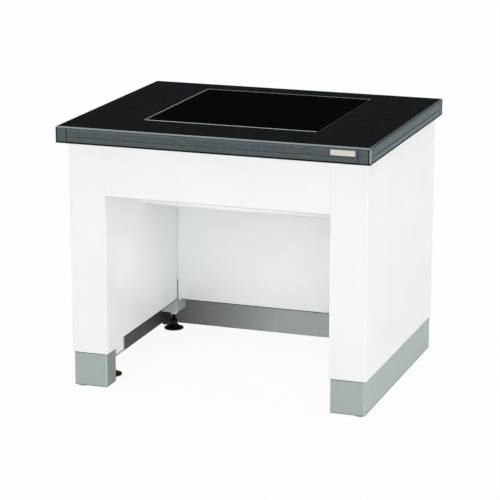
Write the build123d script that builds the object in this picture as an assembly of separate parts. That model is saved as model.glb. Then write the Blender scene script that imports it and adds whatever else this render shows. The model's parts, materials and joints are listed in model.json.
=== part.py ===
from build123d import *
import os
from math import sqrt

# Weighing table: a worktop on two boxed legs, with a stone plate let into the top.
# The stone stands on a stand of its own inside the legs, which touches neither top nor panels.
# Millimetres. X runs to the right, Y to the back, Z up.
# The origin is on the floor, under the middle of the top.

# Worktop
top_width = 900
top_depth = 750
table_height = 760
top_thickness = 46
laminate_thickness = 1.2

# Ribbed strip round the worktop's edge, and the smooth caps at its corners
band_thickness = 5
band_bevel = 3
band_plain = 6
rib_width = 1.4
rib_pitch = 2.8
rib_depth = 0.6
groove_width = 2.2
groove_depth = 1.6
groove_share = 0.62
cap_leg = 35
cap_radius = 5

# Blank name plate on the front strip
plate_width = 68
plate_height = 15
plate_thickness = 1
plate_side_gap = 6.5
plate_rise = 6
plate_radius = 1.5

# Stone plate, placed by the margins of worktop that are left round it, and the hole for it
stone_side_margin = 200
stone_front_margin = 166
stone_rear_margin = 84
stone_thickness = 60
stone_chamfer = 1.5
stone_gap = 3.5
lining_thickness = 1.5

# Panels of the body
side_overhang = 18
front_overhang = 48
rear_overhang = 18
panel_thickness = 12
panel_radius = 1.5
joint_radius = 0.6
apron_thickness = 18
apron_height = 154
stretcher_thickness = 18
stretcher_height = 155
stretcher_drop = 80
stretcher_setback = 275
knee_clearance = 119.5
step_clearance = 82
step_setback = 120
relief_width = 3
relief_height = 62

# Plinth boards round the foot of the body
floor_gap = 5
plinth_height = 98.5
plinth_inset = 3.2
plinth_return = 67
plinth_radius = 3

# Square tube frame that carries the panels and the worktop
frame_tube = 20
frame_wall = 1.5
frame_gap = 3.5
glide_fit = 0.2
glide_plug = 18

# Stand for the stone
post_width = 50
post_depth = 80
post_wall = 2.3
post_radius = 4
post_drop = 8
post_cap_thickness = 3
post_side_gap = 8
post_front_setback = 94
post_rear_gap = 5
service_gap = 30
beam_width = 50
beam_height = 60
beam_gap = 6
rail_width = 40
rail_height = 50
lower_rail_height = 130
foot_plate_height = 62
foot_plate_thickness = 4
cushion_width = 60
cushion_depth = 24
cushion_thickness = 6
cushion_inset = 45

# Threaded adjusters under the stand
stem_radius = 6
stem_play = 0.05
stem_top = 100
stem_chamfer = 1
nut_across = 19
nut_height = 15
hex_across = 22
hex_height = 17
foot_radius = 30
foot_rim = 3.5
foot_edge_radius = 1
boss_radius = 15
foot_height = 12
pivot_radius = 5
pivot_length = 7
pivot_end_gap = 0.3
plate_hole_play = 0.6

# Fixings
bead_width = 10
bead_thickness = 1.5
bead_screw_heights = (342, 366)
bead_screw_radius = 3
bead_screw_head = 1.6
cleat_leg = 25
cleat_length = 60
cleat_thickness = 3
cleat_shares = (0.5, 0.9)
screw_radius = 3
screw_head_radius = 6
screw_head_height = 4
screw_bite = 28
side_screw_shares = (0.14, 0.5, 0.86)
cross_screw_shares = (0.25, 0.75)

# A cut runs this far past the faces that it opens
overrun = 2

# Heights
underside = table_height - top_thickness
laminate_base = table_height - laminate_thickness
plinth_top = floor_gap + plinth_height
apron_base = underside - apron_height
stretcher_top = underside - stretcher_drop
stand_top = table_height - stone_thickness - cushion_thickness
post_top = stand_top - post_drop
post_base = foot_plate_height + foot_plate_thickness
rail_base = underside - frame_tube
glide_height = floor_gap

# Half widths, from the edge of the top inwards
half_top = top_width / 2
half_stone = half_top - stone_side_margin
half_body = half_top - side_overhang
side_inner = half_body - panel_thickness
tube_inner = side_inner - frame_tube
post_outer = tube_inner - frame_gap
post_inner = post_outer - post_width
leg_panel = post_inner - post_side_gap
leg_inner = leg_panel - panel_thickness
plinth_outer = half_body - plinth_inset
post_middle = (post_outer + post_inner) / 2

# Depths, from front to back
top_front = -top_depth / 2
top_rear = top_depth / 2
body_front = top_front + front_overhang
body_rear = top_rear - rear_overhang
strip_rear = body_front + panel_thickness
rear_inner = body_rear - panel_thickness
apron_rear = body_front + apron_thickness
front_post = (body_front + post_front_setback, body_front + post_front_setback + post_depth)
rear_post = (rear_inner - post_rear_gap - post_depth, rear_inner - post_rear_gap)
knee_panel_rear = rear_post[0] - service_gap
knee_panel_front = knee_panel_rear - panel_thickness
front_beam = (front_post[1] - beam_width, front_post[1])
rear_beam = (rear_post[0], rear_post[0] + beam_width)
stretcher_front = body_front + stretcher_setback

# The stone
stone_front = top_front + stone_front_margin
stone_rear = top_rear - stone_rear_margin
stone_base = table_height - stone_thickness


def block(x, y, z):
    """A box between two limits on each axis."""
    corner = (Align.MIN, Align.MIN, Align.MIN)
    return Pos(x[0], y[0], z[0]) * Box(x[1] - x[0], y[1] - y[0], z[1] - z[0], align=corner)


def grown(limits, by):
    """Two limits moved apart by the same length at each end."""
    return (limits[0] - by, limits[1] + by)


def tube(x, y, z, wall, along):
    """A square or rectangular tube with open ends, its bore along one axis."""
    bore = [grown(limits, overrun if axis == along else -wall) for axis, limits in zip("XYZ", (x, y, z))]
    return block(x, y, z) - block(*bore)


def upright(radius, height, x, y, base):
    """A round bar that stands at x, y."""
    bottom = (Align.CENTER, Align.CENTER, Align.MIN)
    return Pos(x, y, base) * Cylinder(radius, height, align=bottom)


def hexagon(across, height, x, y, base):
    """An upright hexagonal prism, measured across its flats."""
    outline = RegularPolygon(across / 2, 6, major_radius=False)
    return extrude(Pos(x, y, base) * outline, height)


def front_edges(piece):
    """The upright edges at the piece's front."""
    return piece.edges().filter_by(Axis.Z).group_by(Axis.Y)[0]


def keep(name, *pieces):
    """Writes one named node, which holds one solid or a group of separate ones."""
    solids = [solid for piece in pieces for solid in piece.solids()]
    whole = solids[0] if len(solids) == 1 else Compound(solids)
    export_step(whole, f"parts/{name}.step")


def keep_pair(name, left_piece):
    """Writes the left piece and its mirror image."""
    keep(f"{name}_left", left_piece)
    keep(f"{name}_right", mirror(left_piece, about=Plane.YZ))


def corner_places(x, front_y, rear_y):
    """The four corners of a layout that is the same left and right, with their names."""
    return {
        "front_left": (-x, front_y),
        "front_right": (x, front_y),
        "rear_left": (-x, rear_y),
        "rear_right": (x, rear_y),
    }


def screw_places():
    """Where the worktop is screwed down: along both side rails and the front and rear rails."""
    side_x = side_inner - frame_tube / 2
    length = rear_inner - strip_rear
    side_y = [strip_rear + share * length for share in side_screw_shares]
    places = [(side * side_x, y) for side in (-1, 1) for y in side_y]
    front_y = apron_rear + frame_tube / 2
    rear_y = rear_inner - frame_tube / 2
    places += [(leg_inner * (2 * share - 1), front_y) for share in cross_screw_shares]
    places += [(tube_inner * (2 * share - 1), rear_y) for share in cross_screw_shares]
    return places


def screw_shanks(radius):
    """Upright shanks, or the holes for them, through the rails and into the worktop."""
    return [upright(radius, frame_tube + screw_bite, x, y, rail_base) for x, y in screw_places()]


def stone_hole(wall):
    """The volume of the hole for the stone, widened all round by a wall, through the whole top."""
    x = grown((-half_stone, half_stone), stone_gap + wall)
    y = grown((stone_front, stone_rear), stone_gap + wall)
    return block(x, y, grown((underside, table_height), overrun))


def top_core(z):
    """The worktop's area inside its edge strip, between two heights."""
    x = (-half_top + band_thickness, half_top - band_thickness)
    y = (top_front + band_thickness, top_rear - band_thickness)
    return block(x, y, z) - stone_hole(lining_thickness)


def worktop():
    """Core board, the black sheet on it and the lining of the hole."""
    board = top_core((underside, laminate_base))
    for shank in screw_shanks(screw_radius):
        board -= shank
    keep("top_board", board)
    keep("top_laminate", top_core((laminate_base, table_height)))
    slab = block((-half_top, half_top), (top_front, top_rear), (underside, table_height))
    keep("cutout_lining", (slab & stone_hole(lining_thickness)) - stone_hole(0))


def name_plate():
    """The blank plate, let into the front strip near its right end so that it is flush with the ribs."""
    right_end = half_top - cap_leg - plate_side_gap
    middle = (right_end - plate_width / 2, (underside + table_height) / 2 + plate_rise)
    origin = (middle[0], top_front + plate_thickness, middle[1])
    back = Plane(origin=origin, x_dir=(1, 0, 0), z_dir=(0, -1, 0))
    return extrude(back * RectangleRounded(plate_width, plate_height, plate_radius), plate_thickness)


def band_outline():
    """Section of the edge strip: outwards, then upwards from the underside."""
    outer = band_thickness
    points = [(0, 0), (outer, 0)]
    groove_middle = top_thickness * (1 - groove_share)
    groove = grown((groove_middle, groove_middle), groove_width / 2)
    rib_top = top_thickness - band_bevel - band_plain
    height = rib_pitch
    cut = False
    while height + rib_pitch < rib_top:
        if height + rib_pitch < groove[0] or height > groove[1]:
            points += [(outer, height), (outer - rib_depth, height)]
            points += [(outer - rib_depth, height + rib_width), (outer, height + rib_width)]
        elif not cut:
            points += [(outer, groove[0]), (outer - groove_depth, groove[0])]
            points += [(outer - groove_depth, groove[1]), (outer, groove[1])]
            cut = True
        height += rib_pitch
    points += [(outer, top_thickness - band_bevel), (outer - band_bevel, top_thickness), (0, top_thickness)]
    return points


def edge_strip(length):
    """A ribbed strip along X that faces the front: its back is at Y 0 and its underside at Z 0."""
    section = Plane(origin=(length / 2, 0, 0), x_dir=(0, -1, 0), z_dir=(-1, 0, 0))
    outline = make_face(Polyline(*band_outline(), close=True))
    return extrude(section * outline, length)


def edge_strips():
    """Four ribbed strips that end at the corner caps, and the name plate in the front one."""
    front = Pos(0, top_front + band_thickness, underside) * edge_strip(top_width - 2 * cap_leg)
    plate = name_plate()
    keep("name_plate", plate)
    keep("edge_band_front", front - plate)
    keep("edge_band_rear", mirror(front, about=Plane.XZ))
    side = edge_strip(top_depth - 2 * cap_leg)
    keep_pair("edge_band", Pos(-half_top + band_thickness, 0, underside) * Rot(0, 0, -90) * side)


def corner_cap():
    """One smooth cap: the front left corner of the edge, rounded and bevelled like the strips."""
    x = (-half_top, -half_top + cap_leg)
    y = (top_front, top_front + cap_leg)
    cap = block(x, y, (underside, table_height))
    cap = fillet(front_edges(cap).sort_by(Axis.X)[0], cap_radius)
    rim = cap.faces().sort_by(Axis.Z)[-1].edges()
    inside = (x[1] - band_bevel, y[1] - band_bevel)
    outer = [edge for edge in rim if edge.center().X < inside[0] and edge.center().Y < inside[1]]
    cap = chamfer(outer, band_bevel)
    inner_x = (x[0] + band_thickness, x[1] + overrun)
    inner_y = (y[0] + band_thickness, y[1] + overrun)
    return cap - block(inner_x, inner_y, grown((underside, table_height), overrun))


def corner_caps():
    """The four caps, in one node."""
    left_front = corner_cap()
    left_rear = mirror(left_front, about=Plane.XZ)
    right = [mirror(cap, about=Plane.YZ) for cap in (left_front, left_rear)]
    keep("corner_caps", left_front, left_rear, *right)


def stone():
    """The stone plate, with a small chamfer round its top."""
    plate = block((-half_stone, half_stone), (stone_front, stone_rear), (stone_base, table_height))
    keep("stone_plate", chamfer(plate.faces().sort_by(Axis.Z)[-1].edges(), stone_chamfer))


def leg_panels():
    """Outer side panel, narrow front panel and inner panel of each leg."""
    side = block((-half_body, -side_inner), (body_front, body_rear), (plinth_top, underside))
    side = fillet(front_edges(side).sort_by(Axis.X)[0], panel_radius)
    keep_pair("side_panel", fillet(front_edges(side).sort_by(Axis.X)[-1], joint_radius))
    front = block((-side_inner, -leg_inner), (body_front, strip_rear), (plinth_top, underside))
    front = fillet(front_edges(front).sort_by(Axis.X)[-1], panel_radius)
    keep_pair("leg_front", fillet(front_edges(front).sort_by(Axis.X)[0], joint_radius))
    keep_pair("inner_panel", inner_panel())


def inner_panel():
    """Panel beside the knees: stepped along its foot, and notched at its top for the stand's front beam."""
    x = (-leg_panel, -leg_inner)
    panel = block(x, (strip_rear, knee_panel_rear), (step_clearance, underside))
    wide = grown(x, overrun)
    low = step_clearance - overrun
    panel -= block(wide, (strip_rear - overrun, body_front + plinth_return), (low, plinth_top))
    panel -= block(wide, (body_front + step_setback, knee_panel_rear + overrun), (low, knee_clearance))
    notch = (stand_top - beam_height - beam_gap, underside + overrun)
    return panel - block(wide, grown(front_beam, beam_gap), notch)


def cross_panels():
    """The apron, the stretcher under the stone, the panel behind the knees and the outer back."""
    between = (-leg_inner, leg_inner)
    apron = block(between, (body_front, apron_rear), (apron_base, underside))
    apron = fillet(front_edges(apron), joint_radius)
    keep("apron", fillet(apron.faces().sort_by(Axis.Z)[0].edges().group_by(Axis.Y)[0], panel_radius))
    stretcher_y = (stretcher_front, stretcher_front + stretcher_thickness)
    keep("stretcher_board", block(between, stretcher_y, (stretcher_top - stretcher_height, stretcher_top)))
    knee = block(between, (knee_panel_front, knee_panel_rear), (knee_clearance, underside))
    for side in (-1, 1):
        x = sorted((side * leg_inner, side * (leg_inner - relief_width)))
        low = (knee_clearance - overrun, knee_clearance + relief_height)
        knee -= block(x, grown((knee_panel_front, knee_panel_rear), overrun), low)
    under_stone = grown((-half_stone, half_stone), stone_gap + lining_thickness)
    knee -= block(
        under_stone,
        grown((knee_panel_front, knee_panel_rear), overrun),
        (stone_base - beam_gap, underside + overrun),
    )
    keep("knee_back_panel", knee)
    keep("rear_panel", block((-side_inner, side_inner), (rear_inner, body_rear), (plinth_top, underside)))


def plinths():
    """Boards round the foot: an L at the front of each leg, one along each side and one across the back."""
    z = (floor_gap, plinth_top)
    inset_inner = -leg_inner - plinth_inset
    front = block((-plinth_outer, inset_inner), (body_front + plinth_inset, strip_rear), z)
    front += block((-leg_panel, inset_inner), (strip_rear, body_front + plinth_return), z)
    keep_pair("front_plinth", fillet(front_edges(front), plinth_radius))
    side = block((-plinth_outer, -side_inner), (strip_rear, body_rear - plinth_inset), z)
    keep_pair("side_plinth", side)
    keep("rear_plinth", block((-side_inner, side_inner), (rear_inner, body_rear - plinth_inset), z))


def body_frame():
    """Square tubes inside the panels: four posts on glides, side rails, and a rail at front and back."""
    x = (-side_inner, -tube_inner)
    front_y = (strip_rear, strip_rear + frame_tube)
    rear_y = (rear_inner - frame_tube, rear_inner)
    between = (front_y[1], rear_y[0])
    posts = [tube(x, y, (floor_gap, underside), frame_wall, "Z") for y in (front_y, rear_y)]
    holes = screw_shanks(screw_radius)
    keep("body_posts", *posts, *[mirror(post, about=Plane.YZ) for post in posts])
    rail_z = (rail_base, underside)
    upper = tube(x, between, rail_z, frame_wall, "Y")
    front_rail_y = (apron_rear, apron_rear + frame_tube)
    front_rail = tube((-leg_inner, leg_inner), front_rail_y, rail_z, frame_wall, "X")
    rear_rail = tube((-tube_inner, tube_inner), rear_y, rail_z, frame_wall, "X")
    for hole in holes:
        upper -= hole
        front_rail -= hole
        rear_rail -= hole
    keep_pair("upper_rail", upper)
    keep("front_rail", front_rail)
    keep("rear_rail", rear_rail)
    keep_pair("lower_rail", tube(x, between, (plinth_top, plinth_top + frame_tube), frame_wall, "Y"))
    glides = []
    for y in (front_y, rear_y):
        foot = block(x, y, (0, glide_height))
        plug = [grown(limits, -frame_wall - glide_fit) for limits in (x, y)]
        foot += block(*plug, (glide_height, glide_height + glide_plug))
        glides += [foot, mirror(foot, about=Plane.YZ)]
    keep("body_glides", *glides)


def rounded_post(y):
    """One upright of the stand: a rectangular tube with rounded corners."""
    x = (-post_outer, -post_inner)
    z = (post_base, post_top)
    post = block(x, y, z)
    post = fillet(post.edges().filter_by(Axis.Z), post_radius)
    bore = block(grown(x, -post_wall), grown(y, -post_wall), grown(z, overrun))
    bore = fillet(bore.edges().filter_by(Axis.Z), post_radius - post_wall)
    return post - bore


def stand():
    """The stone's own stand: four capped posts, beams, side rails, foot plates, nuts and cushions."""
    keep_pair("stand_post_front", rounded_post(front_post))
    keep_pair("stand_post_rear", rounded_post(rear_post))
    beam_x = (-post_inner, post_inner)
    beam_z = (stand_top - beam_height, stand_top)
    keep("stand_beam_front", tube(beam_x, front_beam, beam_z, post_wall, "X"))
    keep("stand_beam_rear", tube(beam_x, rear_beam, beam_z, post_wall, "X"))
    rail_x = (-post_middle - rail_width / 2, -post_middle + rail_width / 2)
    rail_y = (front_post[1], rear_post[0])
    keep_pair("stand_rail", tube(rail_x, rail_y, (stand_top - rail_height, stand_top), post_wall, "Y"))
    low = (lower_rail_height, lower_rail_height + rail_height)
    keep_pair("stand_lower_rail", tube(rail_x, rail_y, low, post_wall, "Y"))
    lower_beam_y = (rear_post[0], rear_post[0] + rail_width)
    keep("stand_lower_beam", tube(beam_x, lower_beam_y, low, post_wall, "X"))
    caps = []
    plates = []
    nuts = []
    for x, y in adjuster_places().values():
        side = (x - post_width / 2, x + post_width / 2)
        depth = (y - post_depth / 2, y + post_depth / 2)
        cap = block(side, depth, (post_top, post_top + post_cap_thickness))
        caps.append(fillet(cap.edges().filter_by(Axis.Z), post_radius))
        plate = block(side, depth, (foot_plate_height, post_base))
        plate = fillet(plate.edges().filter_by(Axis.Z), post_radius)
        hole = stem_radius + plate_hole_play
        plates.append(plate - upright(hole, foot_plate_thickness, x, y, foot_plate_height))
        nut = hexagon(nut_across, nut_height, x, y, foot_plate_height - nut_height)
        nuts.append(nut - upright(stem_radius, nut_height, x, y, foot_plate_height - nut_height))
    keep("post_caps", *caps)
    keep("foot_plates", *plates)
    keep("weld_nuts", *nuts)
    keep("stone_cushions", *stone_cushions())


def stone_cushions():
    """Rubber cushions on the beams, in the middle of the stretch where beam and stone overlap."""
    cushions = []
    for beam in (front_beam, rear_beam):
        middle = (max(beam[0], stone_front) + min(beam[1], stone_rear)) / 2
        y = (middle - cushion_depth / 2, middle + cushion_depth / 2)
        for side in (-1, 1):
            x_middle = side * (half_stone - cushion_inset)
            x = (x_middle - cushion_width / 2, x_middle + cushion_width / 2)
            cushions.append(block(x, y, (stand_top, stone_base)))
    return cushions


def adjuster_places():
    """The adjusters stand under the middle of the stand's posts."""
    return corner_places(post_middle, sum(front_post) / 2, sum(rear_post) / 2)


def adjuster_foot(x, y):
    """The round foot: a rim, a hollow-sided dome and a boss with a socket for the stem's pivot."""
    profile = Polyline((0, 0), (foot_radius, 0), (foot_radius, foot_rim))
    hollow = sqrt((foot_radius - boss_radius) ** 2 + (foot_height - foot_rim) ** 2)
    dome = RadiusArc((foot_radius, foot_rim), (boss_radius, foot_height), hollow)
    closing = Polyline((boss_radius, foot_height), (0, foot_height), (0, 0))
    section = Plane.XZ * make_face(profile + dome + closing)
    foot = revolve(section, Axis.Z)
    foot = fillet(foot.edges().filter_by(GeomType.CIRCLE).group_by(Axis.Z)[0], foot_edge_radius)
    socket_depth = pivot_length + pivot_end_gap
    socket = upright(pivot_radius + stem_play, socket_depth, 0, 0, foot_height - socket_depth)
    return Pos(x, y, 0) * (foot - socket)


def adjuster_stem(x, y):
    """The screw: a pivot in the foot, a hexagon for the spanner and the threaded stem."""
    stem = upright(pivot_radius, pivot_length, x, y, foot_height - pivot_length)
    stem += hexagon(hex_across, hex_height, x, y, foot_height)
    thread_base = foot_height + hex_height
    thread = upright(stem_radius - stem_play, stem_top - thread_base, x, y, thread_base)
    return stem + chamfer(thread.edges().group_by(Axis.Z)[-1], stem_chamfer)


def adjusters():
    """Four adjusters, each a foot and a screw."""
    for name, (x, y) in adjuster_places().items():
        keep(f"adjuster_foot_{name}", adjuster_foot(x, y))
        keep(f"adjuster_stem_{name}", adjuster_stem(x, y))


def fixings():
    """Beads down the corners behind the knees, with their screws, the angle cleats and the top's screws."""
    bead_y = (knee_panel_front - bead_thickness, knee_panel_front)
    beads = []
    screws = []
    for side in (-1, 1):
        x = sorted((side * (leg_inner - relief_width), side * (leg_inner - relief_width - bead_width)))
        beads.append(block(x, bead_y, (knee_clearance, stand_top - beam_height)))
        for height in bead_screw_heights:
            head = extrude(Plane.XZ * Circle(bead_screw_radius), bead_screw_head)
            screws.append(Pos(sum(x) / 2, bead_y[0], height) * head)
    keep("corner_beads", *beads)
    keep("bead_screws", *screws)
    cleats = []
    length = knee_panel_rear - strip_rear
    for share in cleat_shares:
        middle = strip_rear + share * length
        y = (middle - cleat_length / 2, middle + cleat_length / 2)
        x = (-leg_inner, -leg_inner + cleat_leg)
        cleat = block(x, y, (underside - cleat_leg, underside))
        cleat -= block(
            (x[0] + cleat_thickness, x[1] + overrun),
            grown(y, overrun),
            (underside - cleat_leg - overrun, underside - cleat_thickness),
        )
        cleats += [cleat, mirror(cleat, about=Plane.YZ)]
    keep("top_cleats", *cleats)
    top_screws = []
    for (x, y), shank in zip(screw_places(), screw_shanks(screw_radius)):
        head = upright(screw_head_radius, screw_head_height, x, y, rail_base - screw_head_height)
        top_screws.append(head + shank)
    keep("top_screws", *top_screws)


os.makedirs("parts", exist_ok=True)
worktop()
edge_strips()
corner_caps()
stone()
leg_panels()
cross_panels()
plinths()
body_frame()
stand()
adjusters()
fixings()
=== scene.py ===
import json
from math import cos, pi, radians, sin, sqrt, tau

import bmesh
import bpy
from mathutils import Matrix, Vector


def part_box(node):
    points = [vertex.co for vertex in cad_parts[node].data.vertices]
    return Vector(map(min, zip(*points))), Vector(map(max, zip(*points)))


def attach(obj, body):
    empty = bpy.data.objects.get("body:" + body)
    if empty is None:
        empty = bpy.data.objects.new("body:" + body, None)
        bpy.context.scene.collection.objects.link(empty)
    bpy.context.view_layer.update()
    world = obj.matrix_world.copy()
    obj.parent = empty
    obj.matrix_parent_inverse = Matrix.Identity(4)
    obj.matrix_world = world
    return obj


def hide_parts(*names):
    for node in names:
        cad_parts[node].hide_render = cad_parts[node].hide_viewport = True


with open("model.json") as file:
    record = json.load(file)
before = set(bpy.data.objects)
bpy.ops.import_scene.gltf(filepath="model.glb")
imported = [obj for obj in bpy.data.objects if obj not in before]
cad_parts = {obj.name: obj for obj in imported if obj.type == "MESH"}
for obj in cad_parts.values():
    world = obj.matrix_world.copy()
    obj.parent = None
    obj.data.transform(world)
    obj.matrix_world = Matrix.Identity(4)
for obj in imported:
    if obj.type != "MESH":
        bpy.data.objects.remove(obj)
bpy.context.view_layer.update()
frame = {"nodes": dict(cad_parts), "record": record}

# Weighing table in metres: X to the right, Y to the back, Z up, with the floor at Z 0.
MM = 0.001

# Places that the finishes follow, as the model has them
TOP_HEIGHT = 760 * MM
UNDERSIDE = 714 * MM
STRIP_BEVEL = 3 * MM
STRIP_GROOVE = (730.8 * MM, 733.8 * MM)
# Band where the strips get a painted highlight
STRIP_RIDGE = (719.5 * MM, 723 * MM)
CAP_LEG = 35 * MM
CAP_RADIUS = 5 * MM
INNER_STEP = 108 * MM
STONE_CHAMFER = 1.5 * MM

# Widths of lines and thin layers
# Width of the painted shadow along the lower edge of strips and caps
LIP_SHADOW = 5 * MM
JOINT_LINE = 3.4 * MM
EDGE_LINE = 2.4 * MM
# Width of the painted shade beside the highlight on the caps' corners
CORNER_LINE = 1.6 * MM
# Width of the painted highlight on the caps' rounded corners
CORNER_HIGHLIGHT_WIDTH = 0.45 * CAP_RADIUS
# Width of the painted shade in the gaps beside the beads
GAP_SHADE_LINE = 0.4 * MM
BACKING = 0.2 * MM

# Blends between two shades, each from its start to where it is full, as distances from an edge
BEVEL_BLEND = (-0.05 * STRIP_BEVEL, 0.1 * STRIP_BEVEL)
ARRIS_BLEND = (STONE_CHAMFER, 0.9 * STONE_CHAMFER)
RIM_BLEND = (0.05 * MM, 0.03 * MM)
SKIN_BLEND = (0.6 * MM, 0.3 * MM)
HIGHLIGHT_BLEND = (4 * MM, 1.5 * MM)
# This and the next bound the painted shade on the front boards' return
RETURN_BLEND = (3 * MM, 5 * MM)
RETURN_SKIN = (2 * MM, 1 * MM)

# Shares: painted highlight on the plinths' corners, and the inner panels' depth at which their painted light
# tint starts
HIGHLIGHT_SHARE = 0.55
LIGHT_TINT_START = 0.45

# Rear plinth: its painted shade is full this far from the left end, and gone at this place along X
LEFT_SHADE_FULL = 100 * MM
LEFT_SHADE_END = -50 * MM

# Values of noise that give a finish its first and its last shade
SPAN = (0.3, 0.7)
NARROW_SPAN = (0.35, 0.65)
WIDE_SPAN = (0.2, 0.8)

# Cells to the metre, and the values of cell and patch at which a crystal starts and fully shows
STONE_CELLS = 420.0
CHIP_CELLS = 260.0
CRYSTAL_EDGE = (0.12, 0.06)
CRYSTAL_PATCH = (0.5, 0.7)

# Paint's roughness at the ends of its peel, from its own value
PAINT_SPREAD = (-0.05, 0.06)

# Camera: where it aims, and from where
AIM = (-0.0157, 0.0008, 0.3545)
AZIMUTH = 19.458
ELEVATION = 14.639
DISTANCE = 6.2
LENS = 155
SENSOR = 36
FAR_END = 100

# Room: brightness low down and overhead, the heights between which it changes, and the floor's whites
ROOM_LOW = 0.8
ROOM_HIGH = 1.0
ROOM_RISE = (0.45, 0.9)
FLOOR_WHITE = 0.93
FLOOR_SHADE = 0.9
FLOOR_SIZE = 30
FLOOR_DROP = 0.2 * MM

# Adjuster's screw, with the angle up to which it is smooth in degrees
PIVOT_RADIUS = 5 * MM
FOOT_HEIGHT = 12 * MM
HEX_ACROSS = 22 * MM
HEX_HEIGHT = 17 * MM
HEX_CHAMFER = 1.2 * MM
THREAD_RADIUS = 5.95 * MM
THREAD_DEPTH = 0.95 * MM
THREAD_PITCH = 1.75 * MM
THREAD_CHAMFER = 1 * MM
SEGMENTS = 36
RINGS_PER_PITCH = 8
SCREW_SMOOTH = 32

# Head of a bead screw, with the shares of its recess that slope at the ends and the walls
HEAD_RADIUS = 3 * MM
HEAD_HEIGHT = 1.6 * MM
HEAD_EDGE = 0.5 * MM
RECESS_DEPTH = 0.9 * MM
RECESS_LENGTH = 1.7 * MM
RECESS_WIDTH = 0.45 * MM
RECESS_END = 0.5
RECESS_WALL = 0.3
HEAD_SEGMENTS = 48
HEAD_RINGS = 18
HEAD_SMOOTH = 40


def screen(red, green, blue):
    """A colour as a screen shows it, 0 to 255, in the linear values that a shader takes."""
    shares = [value / 255 for value in (red, green, blue)]
    return (*[s / 12.92 if s <= 0.04045 else ((s + 0.055) / 1.055) ** 2.4 for s in shares], 1)


class Finish:
    """A node material: its shader, and short names for the nodes that feed it."""

    def __init__(self, name, **values):
        self.material = bpy.data.materials.new(name)
        self.material.use_nodes = True
        self.tree = self.material.node_tree
        self.shader = self.tree.nodes["Principled BSDF"]
        for socket, value in values.items():
            self.shader.inputs[socket.replace("_", " ")].default_value = value
        self.place = self.add("ShaderNodeTexCoord").outputs["Object"]

    def add(self, kind, inputs=None, **settings):
        """A node with its settings, each input given a value or linked to an output."""
        node = self.tree.nodes.new(kind)
        for key, value in settings.items():
            setattr(node, key, value)
        for key, value in (inputs or {}).items():
            self.feed(node.inputs[key], value)
        return node

    def feed(self, socket, value):
        """Links an output to a socket, or sets the socket's own value."""
        if isinstance(value, bpy.types.NodeSocket):
            self.tree.links.new(value, socket)
        else:
            socket.default_value = value

    def set(self, socket, value):
        """Feeds one of the shader's sockets."""
        self.feed(self.shader.inputs[socket], value)

    def maths(self, operation, first, second=0.0):
        """The result of a Math node."""
        node = self.add("ShaderNodeMath", {0: first, 1: second}, operation=operation)
        return node.outputs[0]

    def noise(self, *grain, detail=3.0):
        """Noise from 0 to 1, with one grain size in millimetres, or one along each axis."""
        lengths = grain if len(grain) == 3 else 3 * grain
        scale = [1 / (length * MM) for length in lengths]
        place = self.add("ShaderNodeMapping", {"Vector": self.place, "Scale": scale})
        inputs = {"Vector": place.outputs[0], "Scale": 1.0, "Detail": detail}
        return self.add("ShaderNodeTexNoise", inputs).outputs[0]

    def spread(self, value, start, end, low=0.0, high=1.0):
        """Maps start to low and end to high, and holds both beyond their ends."""
        inputs = {"Value": value, "From Min": start, "From Max": end, "To Min": low, "To Max": high}
        return self.add("ShaderNodeMapRange", inputs).outputs[0]

    def along(self, axis):
        """The place along one axis, in metres."""
        return self.add("ShaderNodeSeparateXYZ", {0: self.place}).outputs[axis]

    def band(self, axis, start, end):
        """1 between two places along an axis, and 0 outside them."""
        place = self.along(axis)
        past_start = self.maths("GREATER_THAN", place, start)
        return self.maths("MULTIPLY", past_start, self.maths("LESS_THAN", place, end))

    def mix(self, factor, first, second):
        """A blend of two colours."""
        node = self.add("ShaderNodeMix", data_type="RGBA")
        self.feed(node.inputs[0], factor)
        self.feed(node.inputs[6], first)
        self.feed(node.inputs[7], second)
        return node.outputs[2]

    def shades(self, tone, first, second, span=SPAN):
        """A colour that goes from one shade to another with noise."""
        return self.mix(self.spread(tone, *span), first, second)

    def weigh(self, first, share, second):
        """The sum of a share of one value and the rest of another."""
        part = self.maths("MULTIPLY", first, share)
        return self.maths("ADD", part, self.maths("MULTIPLY", second, 1 - share))

    def roughness(self, tone, low, high):
        """Roughness that goes from low to high with noise."""
        self.set("Roughness", self.spread(tone, *SPAN, low, high))

    def skin(self, place, face):
        """1 on a face at the lowest place of a board, and 0 past the board's skin."""
        return self.spread(place, face + SKIN_BLEND[0], face + SKIN_BLEND[1])

    def bump(self, height, depth, strength):
        """Bumps on the surface, their depth in millimetres."""
        inputs = {"Height": height, "Distance": depth * MM, "Strength": strength}
        self.set("Normal", self.add("ShaderNodeBump", inputs).outputs[0])


def laminate():
    """Black sheet with a fine grain and a faint, larger mottle."""
    finish = Finish("worktop_laminate", Specular_IOR_Level=0.00023)
    grain = finish.noise(0.9)
    mottle = finish.noise(16)
    tone = finish.weigh(grain, 0.4, mottle)
    colour = finish.shades(tone, screen(16, 18, 20), screen(27, 31, 33), NARROW_SPAN)
    finish.set("Base Color", colour)
    finish.roughness(grain, 0.4, 0.52)
    finish.bump(grain, 0.05, 0.3)
    return finish.material


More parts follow.
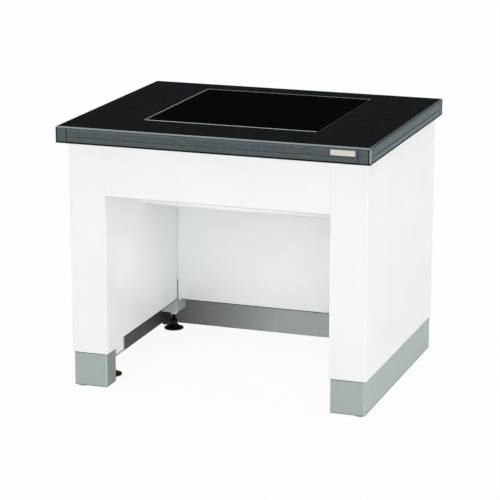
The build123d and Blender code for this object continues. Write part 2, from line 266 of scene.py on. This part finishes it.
def stone():
    """Polished black stone with small grey crystals, and a painted highlight on the arris along its front."""
    finish = Finish("stone", Specular_IOR_Level=0.00002)
    cells = {"Vector": finish.place, "Scale": STONE_CELLS}
    crystal = finish.add("ShaderNodeTexVoronoi", cells).outputs["Distance"]
    patch = finish.noise(14)
    sharp = finish.spread(crystal, *CRYSTAL_EDGE)
    speck = finish.maths("MULTIPLY", sharp, finish.spread(patch, *CRYSTAL_PATCH))
    body = finish.mix(speck, screen(6, 6, 8), screen(18, 19, 21))
    # Painted highlight: only the front arris is light, for the light it catches
    start, full = ARRIS_BLEND
    high = finish.spread(finish.along("Z"), TOP_HEIGHT - start, TOP_HEIGHT - full)
    low_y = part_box("stone_plate")[0].y
    front = finish.spread(finish.along("Y"), low_y + start, low_y + full)
    arris = finish.maths("MULTIPLY", high, front)
    arris_highlight = finish.mix(finish.noise(0.6, detail=2.0), screen(216, 220, 220), screen(236, 239, 239))
    finish.set("Base Color", finish.mix(arris, body, arris_highlight))
    finish.set("Roughness", finish.spread(arris, 0.0, 1.0, 0.12, 0.6))
    return finish.material


def lining():
    """Thin metal lining: bright inside the hole, with a darkened rim."""
    finish = Finish("lining", Specular_IOR_Level=0.0)
    brushed = finish.noise(12, 12, 0.4, detail=2.0)
    metal = finish.shades(brushed, screen(176, 182, 182), screen(202, 207, 207))
    start, full = RIM_BLEND
    rim = finish.spread(finish.along("Z"), TOP_HEIGHT - start, TOP_HEIGHT - full)
    finish.set("Base Color", finish.mix(rim, metal, screen(76, 80, 81)))
    finish.roughness(brushed, 0.35, 0.5)
    return finish.material


def edge_shades(finish, body, bevel, shade, painted_shade_depth, lip_shadow=LIP_SHADOW):
    """The shades that strips and caps share: a bevel in painted light, a painted shade under it and a painted
    shadow along the lower edge.
    """
    height = finish.along("Z")
    below = TOP_HEIGHT - STRIP_BEVEL
    # Painted shade under the bevel
    body = finish.mix(finish.spread(height, below - painted_shade_depth, below), body, shade)
    # Painted shadow: a dark band along the lower edge
    body = finish.mix(finish.band("Z", UNDERSIDE - lip_shadow, UNDERSIDE + lip_shadow), body, screen(12, 13, 14))
    # The bevel's colour is painted light: a highlight on the front, shade on the sides
    start, full = BEVEL_BLEND
    return finish.mix(finish.spread(height, below + start, below + full), body, bevel)


def strip(name, lengthwise, ribs, bevel, groove_shade, ridge_highlight, shade, painted_shade_depth, lip_shadow):
    """Extruded grey strip: streaks, a faint cloud, a bevel in painted light, painted shade in its channel, a
    painted highlight on a raised band, and a painted shadow at its foot.
    """
    finish = Finish(name, Specular_IOR_Level=0.1)
    x, y = (90, 1.2) if lengthwise == "X" else (1.2, 90)
    streak = finish.noise(x, y, 0.8)
    cloud = finish.noise(12, 12, 6)
    tone = finish.weigh(streak, 0.4, cloud)
    body = finish.shades(tone, *ribs, NARROW_SPAN)
    # Painted highlight along a raised band
    body = finish.mix(finish.band("Z", *STRIP_RIDGE), body, ridge_highlight)
    # Painted shade in the channel
    body = finish.mix(finish.band("Z", *STRIP_GROOVE), body, groove_shade)
    bevel = finish.shades(streak, *bevel)
    finish.set("Base Color", edge_shades(finish, body, bevel, shade, painted_shade_depth, lip_shadow))
    finish.roughness(tone, 0.38, 0.5)
    finish.bump(streak, 0.03, 0.4)
    return finish.material


def cap():
    """Moulded grey cap: a fine grain, dark joints beside the strips, a bevel in painted light, and a corner
    with a painted highlight on its side and painted shade beside it.
    """
    finish = Finish("corner_cap", Specular_IOR_Level=0.25)
    grain = finish.noise(0.7)
    mottle = finish.noise(8)
    tone = finish.weigh(grain, 0.4, mottle)
    body = finish.shades(tone, screen(66, 73, 75), screen(86, 93, 95), NARROW_SPAN)
    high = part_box("corner_caps")[1]
    side = finish.maths("ABSOLUTE", finish.along("X"))
    front = finish.maths("ABSOLUTE", finish.along("Y"))
    round_front = finish.maths("GREATER_THAN", front, high.y - CAP_RADIUS)
    # Painted highlight on the front bevel, painted shade on the side bevel
    front_bevel_highlight = finish.shades(grain, screen(134, 141, 145), screen(146, 153, 157))
    bevel = finish.mix(round_front, screen(54, 59, 60), front_bevel_highlight)
    # Painted highlight on the rounded corner's side
    corner_highlight = finish.maths("GREATER_THAN", side, high.x - CORNER_HIGHLIGHT_WIDTH)
    corner_highlight = finish.maths("MULTIPLY", corner_highlight, round_front)
    body = finish.mix(corner_highlight, body, screen(154, 161, 162))
    # Painted shade: a dark band on the rounded corner next to the highlight
    painted_shade = finish.maths("GREATER_THAN", side, high.x - CAP_RADIUS - CORNER_LINE)
    painted_shade = finish.maths("MULTIPLY", painted_shade, finish.maths("SUBTRACT", round_front, corner_highlight))
    body = finish.mix(painted_shade, body, screen(22, 24, 25))
    joint_side = finish.maths("LESS_THAN", side, high.x - CAP_LEG + JOINT_LINE)
    joint_front = finish.maths("LESS_THAN", front, high.y - CAP_LEG + JOINT_LINE)
    body = finish.mix(finish.maths("MAXIMUM", joint_side, joint_front), body, screen(28, 31, 32))
    # Painted shade under the bevel, and a painted shadow along the lower edge
    colour = edge_shades(finish, body, bevel, shade=screen(52, 57, 59), painted_shade_depth=2.5 * MM)
    finish.set("Base Color", colour)
    finish.roughness(grain, 0.42, 0.55)
    finish.bump(grain, 0.05, 0.35)
    return finish.material


def plate():
    """Blank satin plate, brushed along its length."""
    finish = Finish("name_plate", Specular_IOR_Level=0.4)
    brushed = finish.noise(30, 0.3, 0.25)
    colour = finish.shades(brushed, screen(196, 194, 184), screen(218, 216, 205))
    finish.set("Base Color", colour)
    finish.roughness(brushed, 0.3, 0.45)
    finish.bump(brushed, 0.02, 0.4)
    return finish.material


def white_panel(name, lines=None, dark=screen(241, 243, 242), light=screen(245, 247, 246)):
    """White faced board: satin, with the facing's fine peel and a hardly visible mottle."""
    finish = Finish(name, Specular_IOR_Level=0.15)
    peel = finish.noise(1.6, detail=2.0)
    mottle = finish.noise(140)
    tone = finish.weigh(peel, 0.3, mottle)
    colour = finish.shades(tone, dark, light)
    if lines:
        colour = lines(finish, colour)
    finish.set("Base Color", colour)
    finish.roughness(peel, 0.46, 0.56)
    finish.bump(peel, 0.03, 0.25)
    return finish.material


def lower_shadow_line(node, shade):
    """A painted shadow line along a panel's lower edge."""
    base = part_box(node)[0].z

    def line(finish, colour):
        return finish.mix(finish.maths("LESS_THAN", finish.along("Z"), base + EDGE_LINE), colour, shade)

    return line


def knee_lines(finish, colour):
    """The panel behind the knees: painted shade in the narrow gaps beside the beads, and a painted shadow
    along its lower edge.
    """
    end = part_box("corner_beads")[1].x
    side = finish.maths("ABSOLUTE", finish.along("X"))
    # Painted shade in the narrow gaps beside the beads
    colour = finish.mix(finish.spread(side, end, end + GAP_SHADE_LINE), colour, screen(222, 227, 226))
    return lower_shadow_line("knee_back_panel", screen(44, 46, 46))(finish, colour)


def inner_lines(finish, colour):
    """The panels beside the knees: a greener, lighter painted light tint far back, a dark foot, and painted
    shade past the back panel.
    """
    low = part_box("inner_panel_left")[0]
    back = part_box("knee_back_panel")[0]
    depth = finish.along("Y")
    front = low.y + LIGHT_TINT_START * (back.y - low.y)
    # Painted light: greener and lighter towards the back
    colour = finish.mix(finish.spread(depth, front, back.y), colour, screen(243, 250, 249))
    height = finish.along("Z")
    edge = finish.maths("LESS_THAN", height, back.z + EDGE_LINE)
    step = finish.maths("LESS_THAN", height, low.z + EDGE_LINE)
    behind = finish.maths("GREATER_THAN", depth, low.y + INNER_STEP - EDGE_LINE)
    foot = finish.maths("MAXIMUM", step, finish.maths("MULTIPLY", edge, behind))
    colour = finish.mix(foot, colour, screen(22, 22, 22))
    # Painted shade: dark grey on the stretch behind the back panel, seen in the narrow slot
    return finish.mix(finish.maths("GREATER_THAN", depth, back.y), colour, screen(66, 80, 83))


def plinth(name, dark, light, special_face):
    """Matt grey-green board with a painted shadow line along its top, a darker line along its foot, and one
    face that differs.
    """
    finish = Finish(name, Specular_IOR_Level=0.35)
    grain = finish.noise(0.8)
    cloud = finish.noise(24, 24, 16)
    tone = finish.weigh(grain, 0.5, cloud)
    colour = finish.shades(tone, dark, light)
    low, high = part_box("rear_plinth")
    # A darker line along the foot, and a painted shadow line along the top under the panel above
    for edge, shade in ((low.z, screen(146, 155, 150)), (high.z, screen(104, 112, 108))):
        colour = finish.mix(finish.band("Z", edge - JOINT_LINE, edge + JOINT_LINE), colour, shade)
    colour = special_face(finish, colour, tone)
    finish.set("Base Color", colour)
    finish.roughness(grain, 0.55, 0.7)
    finish.bump(grain, 0.05, 0.3)
    return finish.material


def return_face(finish, colour, tone):
    """The front boards have a painted highlight along their upright corners, and painted shade on their
    return.
    """
    low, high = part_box("front_plinth_right")
    side = finish.maths("ABSOLUTE", finish.along("X"))
    depth = finish.along("Y")
    # Painted highlight along the upright corners
    start, full = HIGHLIGHT_BLEND
    inner = finish.spread(side, low.x + start, low.x + full)
    outer = finish.spread(side, high.x - start, high.x - full)
    front = finish.spread(depth, low.y + start, low.y + full)
    corner = finish.maths("MULTIPLY", finish.maths("MAXIMUM", inner, outer), front)
    colour = finish.mix(finish.maths("MULTIPLY", corner, HIGHLIGHT_SHARE), colour, screen(200, 210, 206))
    # Painted shade on the return that faces the knees
    start, full = RETURN_BLEND
    deep = finish.spread(depth, low.y + start, low.y + full)
    start, full = RETURN_SKIN
    near = finish.spread(side, low.x + start, low.x + full)
    painted_shade = finish.shades(tone, screen(126, 140, 129), screen(134, 148, 137))
    return finish.mix(finish.maths("MULTIPLY", deep, near), colour, painted_shade)


def side_back(finish, colour, tone):
    """The back of a side board is dark brown."""
    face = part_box("side_plinth_right")[0].x
    near = finish.skin(finish.maths("ABSOLUTE", finish.along("X")), face)
    back_face = finish.shades(tone, screen(82, 79, 76), screen(94, 91, 88))
    return finish.mix(near, colour, back_face)


def rear_back(finish, colour, tone):
    """The inner face of the rear board has a pale grey-green of its own, with painted shade that deepens
    towards the left.
    """
    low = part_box("rear_plinth")[0]
    near = finish.skin(finish.along("Y"), low.y)
    left_shade = finish.shades(tone, screen(145, 146, 142), screen(159, 160, 156))
    unshaded = finish.shades(tone, screen(203, 211, 207), screen(214, 222, 218))
    # Painted shade, darker towards the left end
    back_face = finish.mix(finish.spread(finish.along("X"), low.x + LEFT_SHADE_FULL, LEFT_SHADE_END), left_shade, unshaded)
    return finish.mix(near, colour, back_face)


def paint(name, dark, light, roughness, gloss, orange_peel):
    """Powder coat or moulding: a colour between two, with a fine peel of a given strength."""
    finish = Finish(name, Specular_IOR_Level=gloss)
    peel = finish.noise(1.1, detail=2.0)
    cloud = finish.noise(45, detail=2.0)
    tone = finish.weigh(peel, 0.5, cloud)
    finish.set("Base Color", finish.shades(tone, dark, light))
    low, high = PAINT_SPREAD
    finish.roughness(peel, roughness + low, roughness + high)
    finish.bump(peel, 0.06, orange_peel)
    return finish.material


def zinc():
    """Bright zinc plate with a faint cloudy patina."""
    finish = Finish("zinc", Metallic=0.6)
    cloud = finish.noise(6, detail=4.0)
    finish.set("Base Color", finish.shades(cloud, screen(222, 229, 226), screen(244, 249, 246)))
    finish.roughness(cloud, 0.35, 0.5)
    return finish.material


def chipboard():
    """Core board: chips of several browns where it is cut, and a pale backing sheet underneath."""
    finish = Finish("worktop_core", Specular_IOR_Level=0.2)
    cells = {"Vector": finish.place, "Scale": CHIP_CELLS}
    chip = finish.add("ShaderNodeTexVoronoi", cells).outputs["Color"]
    shade =finish.add("ShaderNodeSeparateXYZ", {0: chip}).outputs["X"]
    fine = finish.noise(0.8)
    tone = finish.weigh(shade, 0.6, fine)
    chips = finish.shades(tone, screen(168, 142, 108), screen(212, 188, 150), WIDE_SPAN)
    backing = finish.shades(fine, screen(228, 230, 229), screen(238, 240, 239))
    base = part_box("top_board")[0].z
    under = finish.maths("LESS_THAN", finish.along("Z"), base + BACKING)
    finish.set("Base Color", finish.mix(under, chips, backing))
    finish.roughness(fine, 0.75, 0.9)
    finish.bump(fine, 0.15, 0.4)
    return finish.material


def seen_directly(add, link):
    """1 for what the camera, a reflection or a transmission sees, and 0 for diffuse light."""
    path = add("ShaderNodeLightPath")
    total = path.outputs["Is Camera Ray"]
    for kind in ("Is Glossy Ray", "Is Transmission Ray"):
        both = add("ShaderNodeMath")
        both.operation = "MAXIMUM"
        link(total, both.inputs[0])
        link(path.outputs[kind], both.inputs[1])
        total = both.outputs[0]
    return total


def studio_world():
    """A white room, plain white wherever it is seen. As a light it is a little dimmer near the horizon."""
    world = bpy.data.worlds.new("studio")
    bpy.context.scene.world = world
    world.use_nodes = True
    tree = world.node_tree
    direction = tree.nodes.new("ShaderNodeTexCoord").outputs["Generated"]
    parts = tree.nodes.new("ShaderNodeSeparateXYZ")
    tree.links.new(direction, parts.inputs[0])
    room = tree.nodes.new("ShaderNodeMapRange")
    ends = (*ROOM_RISE, ROOM_LOW, ROOM_HIGH)
    for socket, value in zip(("From Min", "From Max", "To Min", "To Max"), ends):
        room.inputs[socket].default_value = value
    tree.links.new(parts.outputs["Z"], room.inputs["Value"])
    level = tree.nodes.new("ShaderNodeMapRange")
    tree.links.new(room.outputs[0], level.inputs["To Min"])
    level.inputs["To Max"].default_value = 1.0
    tree.links.new(seen_directly(tree.nodes.new, tree.links.new), level.inputs["Value"])
    background = tree.nodes["Background"]
    background.inputs["Color"].default_value = (1, 1, 1, 1)
    tree.links.new(level.outputs[0], background.inputs["Strength"])


def studio_floor():
    """A plain white floor that keeps a faint shadow of the table."""
    bpy.ops.mesh.primitive_plane_add(size=FLOOR_SIZE, location=(0, 0, -FLOOR_DROP))
    floor = bpy.context.object
    floor.name = "floor"
    material = bpy.data.materials.new("floor")
    material.use_nodes = True
    tree = material.node_tree
    tree.nodes.clear()
    matt = tree.nodes.new("ShaderNodeBsdfDiffuse")
    matt.inputs["Color"].default_value = (FLOOR_SHADE, FLOOR_SHADE, FLOOR_SHADE, 1)
    white = tree.nodes.new("ShaderNodeEmission")
    share = tree.nodes.new("ShaderNodeMath")
    share.operation = "MULTIPLY"
    share.inputs[1].default_value = FLOOR_WHITE
    tree.links.new(seen_directly(tree.nodes.new, tree.links.new), share.inputs[0])
    both = tree.nodes.new("ShaderNodeMixShader")
    tree.links.new(share.outputs[0], both.inputs[0])
    tree.links.new(matt.outputs[0], both.inputs[1])
    tree.links.new(white.outputs[0], both.inputs[2])
    out = tree.nodes.new("ShaderNodeOutputMaterial")
    tree.links.new(both.outputs[0], out.inputs["Surface"])
    floor.data.materials.append(material)


def soft_box(name, place, target, width, height, brightness):
    """A lamp at a place that faces a target, as bright as a white wall times a number."""
    data = bpy.data.lights.new(name, "AREA")
    data.shape = "RECTANGLE"
    data.size = width
    data.size_y = height
    data.energy = brightness * pi * width * height
    lamp = bpy.data.objects.new(name, data)
    lamp.location = place
    lamp.rotation_euler = (Vector(target) - Vector(place)).to_track_quat("-Z", "Y").to_euler()
    lamp.visible_camera = False
    bpy.context.collection.objects.link(lamp)


def camera():
    """The camera at the photograph's viewing angle."""
    data = bpy.data.cameras.new("camera")
    data.lens = LENS
    data.sensor_width = SENSOR
    data.clip_end = FAR_END
    view = bpy.data.objects.new("camera", data)
    turn, rise = radians(AZIMUTH), radians(ELEVATION)
    away = Vector((sin(turn) * cos(rise), -cos(turn) * cos(rise), sin(rise)))
    view.location = Vector(AIM) + DISTANCE * away
    view.rotation_euler = (-away).to_track_quat("-Z", "Y").to_euler()
    bpy.context.collection.objects.link(view)
    bpy.context.scene.camera = view


def closed_rings(mesh, rings):
    """A closed skin over rings of points that all have the same count, from the lowest to the highest."""
    loops = [[mesh.verts.new(point) for point in ring] for ring in rings]
    count = len(loops[0])
    for low, high in zip(loops, loops[1:]):
        for i in range(count):
            j = (i + 1) % count
            mesh.faces.new((low[i], low[j], high[j], high[i]))
    mesh.faces.new(reversed(loops[0]))
    mesh.faces.new(loops[-1])


def new_piece(name, mesh, smooth_angle):
    """An object from a mesh, smooth except across edges sharper than an angle in degrees."""
    bmesh.ops.recalc_face_normals(mesh, faces=mesh.faces)
    for face in mesh.faces:
        face.smooth = True
    for edge in mesh.edges:
        edge.smooth = edge.calc_face_angle(0) < radians(smooth_angle)
    data = bpy.data.meshes.new(name)
    mesh.to_mesh(data)
    mesh.free()
    piece = bpy.data.objects.new(name, data)
    bpy.context.collection.objects.link(piece)
    return piece


def hexagon_radius(angle):
    """Distance from the middle of the screw's hexagon, with corners on the X axis, to its edge."""
    turn = angle % (pi / 3) - pi / 6
    return HEX_ACROSS / 2 / cos(turn)


def thread_radius(angle, height, top):
    """Radius of the thread's surface at a height, with a chamfer at its top."""
    phase = height / THREAD_PITCH - angle / tau
    crest = 0.5 + 0.5 * cos(tau * phase)
    radius = THREAD_RADIUS - THREAD_DEPTH * (1 - crest)
    return min(radius, THREAD_RADIUS - THREAD_CHAMFER + max(0, top - height))


def adjuster_screw(corner):
    """The screw of one adjuster: pivot, chamfered hexagon and a real thread."""
    node = f"adjuster_stem_{corner}"
    low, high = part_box(node)
    middle = (low + high) / 2
    top = high.z
    angles = [tau * i / SEGMENTS for i in range(SEGMENTS)]

    def ring(radius, height):
        radii = [radius(angle) if callable(radius) else radius for angle in angles]
        return [(middle.x + r * cos(a), middle.y + r * sin(a), height) for r, a in zip(radii, angles)]

    hex_base = FOOT_HEIGHT
    hex_top = hex_base + HEX_HEIGHT
    rings = [
        ring(PIVOT_RADIUS, low.z),
        ring(PIVOT_RADIUS, hex_base),
        ring(HEX_ACROSS / 2, hex_base),
        ring(hexagon_radius, hex_base + HEX_CHAMFER),
        ring(hexagon_radius, hex_top - HEX_CHAMFER),
        ring(HEX_ACROSS / 2, hex_top),
        ring(THREAD_RADIUS, hex_top),
    ]
    count = round((top - hex_top) / THREAD_PITCH * RINGS_PER_PITCH)
    for i in range(1, count + 1):
        height = hex_top + (top - hex_top) * i / count
        rings.append(ring(lambda angle: thread_radius(angle, height, top), height))
    mesh = bmesh.new()
    closed_rings(mesh, rings)
    piece = new_piece(f"screw_thread_{corner}", mesh, SCREW_SMOOTH)
    piece.data.materials.append(finishes["black_steel"])
    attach(piece, f"screw_{corner}")
    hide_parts(node)


def recess(u, v):
    """Depth share of a cross recess at a place on a screw's head."""
    depth = 0
    for length, width in ((abs(u), abs(v)), (abs(v), abs(u))):
        end = min(1, max(0, (RECESS_LENGTH - length) / (RECESS_END * RECESS_LENGTH)))
        wall = min(1, max(0, (RECESS_WIDTH - width) / (RECESS_WALL * RECESS_WIDTH)))
        depth = max(depth, end * wall)
    return depth


def bead_screws():
    """Domed screw heads with a cross recess, in place of the plain ones."""
    low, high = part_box("bead_screws")
    back = high.y
    side = high.x - HEAD_RADIUS
    heights = (low.z + HEAD_RADIUS, high.z - HEAD_RADIUS)
    mesh = bmesh.new()
    for x in (-side, side):
        for z in heights:
            grid = []
            for i in range(1, HEAD_RINGS + 1):
                r = HEAD_RADIUS * i / HEAD_RINGS
                dome = sqrt(max(0, 1 - (r / HEAD_RADIUS) ** 2))
                rise = HEAD_EDGE + (HEAD_HEIGHT - HEAD_EDGE) * dome
                ring = []
                for j in range(HEAD_SEGMENTS):
                    angle = tau * j / HEAD_SEGMENTS
                    u, v = r * cos(angle), r * sin(angle)
                    ring.append((x + u, back - rise + RECESS_DEPTH * recess(u, v), z + v))
                grid.append(ring)
            grid.append([(px, back, pz) for px, _, pz in grid[-1]])
            closed_rings(mesh, grid)
    piece = new_piece("bead_screw_heads", mesh, HEAD_SMOOTH)
    piece.data.materials.append(finishes["zinc"])
    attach(piece, "root")
    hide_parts("bead_screws")


finishes = {
    "worktop_core": chipboard(),
    "worktop_laminate": laminate(),
    # Front and rear strips: a painted highlight on the bevel, painted shade under it and a painted shadow at
    # the lower edge
    "edge_strip": strip(
        "edge_strip_across_painted_light",
        lengthwise="X",
        ribs=(screen(75, 83, 85), screen(93, 102, 104)),
        bevel=(screen(137, 144, 148), screen(150, 157, 161)),
        groove_shade=screen(77, 85, 87),
        ridge_highlight=screen(87, 96, 98),
        shade=screen(54, 60, 61),
        painted_shade_depth=3 * MM,
        lip_shadow=LIP_SHADOW,
    ),
    "corner_cap": cap(),
    "name_plate": plate(),
    "lining": lining(),
    "stone": stone(),
    "white_panel": white_panel("white_panel"),
    "bead": paint("bead", screen(238, 240, 240), screen(246, 247, 247), 0.4, 0.4, 0.2),
    "plinth": plinth("plinth_front", screen(163, 174, 169), screen(171, 182, 177), return_face),
    "body_frame": paint("body_frame", screen(70, 68, 66), screen(84, 82, 79), 0.6, 0.25, 0.5),
    "stand_frame": paint("stand_frame", screen(226, 236, 231), screen(238, 245, 241), 0.45, 0.4, 0.5),
    "zinc": zinc(),
    "black_plastic": paint("black_plastic", screen(8, 8, 9), screen(17, 17, 18), 0.5, 0.2, 0.4),
    "black_steel": paint("black_steel", screen(10, 10, 11), screen(20, 20, 21), 0.45, 0.2, 0.3),
    "rubber": paint("rubber", screen(26, 26, 26), screen(38, 38, 38), 0.8, 0.3, 0.6),
}
# Side strips: a lit copy of the strip, with lighter ribs and raised band for painted sheen, and a dark bevel,
# channel and top stretch as painted shade
lit_side_strip = strip(
    "edge_strip_deep_painted_light",
    lengthwise="Y",
    ribs=(screen(86, 99, 102), screen(109, 123, 126)),
    bevel=(screen(37, 43, 45), screen(45, 52, 54)),
    groove_shade=screen(36, 46, 49),
    ridge_highlight=screen(118, 129, 133),
    shade=screen(52, 60, 63),
    painted_shade_depth=12 * MM,
    lip_shadow=1.1 * LIP_SHADOW,
)
# The inner panels are a darker, warmer copy of the white facing, as painted shade
inner_panel = white_panel("inner_panel", inner_lines, screen(236, 236, 233), screen(239, 239, 237))
# The stretcher is a slightly darker copy of the white facing, as painted shade, with a painted shadow line
# along its lower edge
stretcher_shadow_line = lower_shadow_line("stretcher_board", screen(212, 215, 214))
stretcher = white_panel("stretcher", stretcher_shadow_line, screen(236, 238, 237), screen(241, 243, 242))
# The side boards are a lighter copy of the plinth colour, painted light for the sheen on the sides
lit_side_plinth = plinth("plinth_side_painted_light", screen(172, 181, 178), screen(181, 190, 187), side_back)
rear_plinth = plinth("plinth_rear", screen(164, 174, 169), screen(172, 182, 177), rear_back)
special = {
    "edge_band_left": lit_side_strip,
    "edge_band_right": lit_side_strip,
    "side_plinth_left": lit_side_plinth,
    "side_plinth_right": lit_side_plinth,
    "rear_plinth": rear_plinth,
    "body_glides": paint("glide", screen(104, 103, 100), screen(118, 117, 114), 0.6, 0.25, 0.4),
    "foot_plates": paint("foot_plate", screen(243, 248, 245), screen(249, 252, 250), 0.4, 0.5, 0.3),
    "knee_back_panel": white_panel("knee_back_panel", knee_lines),
    "inner_panel_left": inner_panel,
    "inner_panel_right": inner_panel,
    "apron": white_panel("apron", lower_shadow_line("apron", screen(201, 204, 203))),
    "stretcher_board": stretcher,
}
slots = {part["node"]: part["material_slot"] for part in frame["record"]["subparts"]}
for name, piece in frame["nodes"].items():
    for place in piece.material_slots:
        place.material = special.get(name, finishes[slots[name]])

for corner in ("front_left", "front_right", "rear_left", "rear_right"):
    adjuster_screw(corner)
bead_screws()

studio_world()
studio_floor()
soft_box("right", (5.2, -4.6, 1.2), (0, 0, 0.3), width=3, height=2, brightness=4.4)
soft_box("front left", (-3.1, -6.2, 0.9), (0, 0, 0.3), width=3, height=1.6, brightness=1.9)
soft_box("knee space right", (-0.08, -0.25, 0.12), (0.3, 0.1, 0.75), width=0.2, height=0.2, brightness=6.4)
soft_box("knee space left", (0.08, -0.25, 0.12), (-0.34, -0.1, 0.65), width=0.2, height=0.2, brightness=2.8)
camera()
bpy.context.scene.view_settings.view_transform = "Standard"
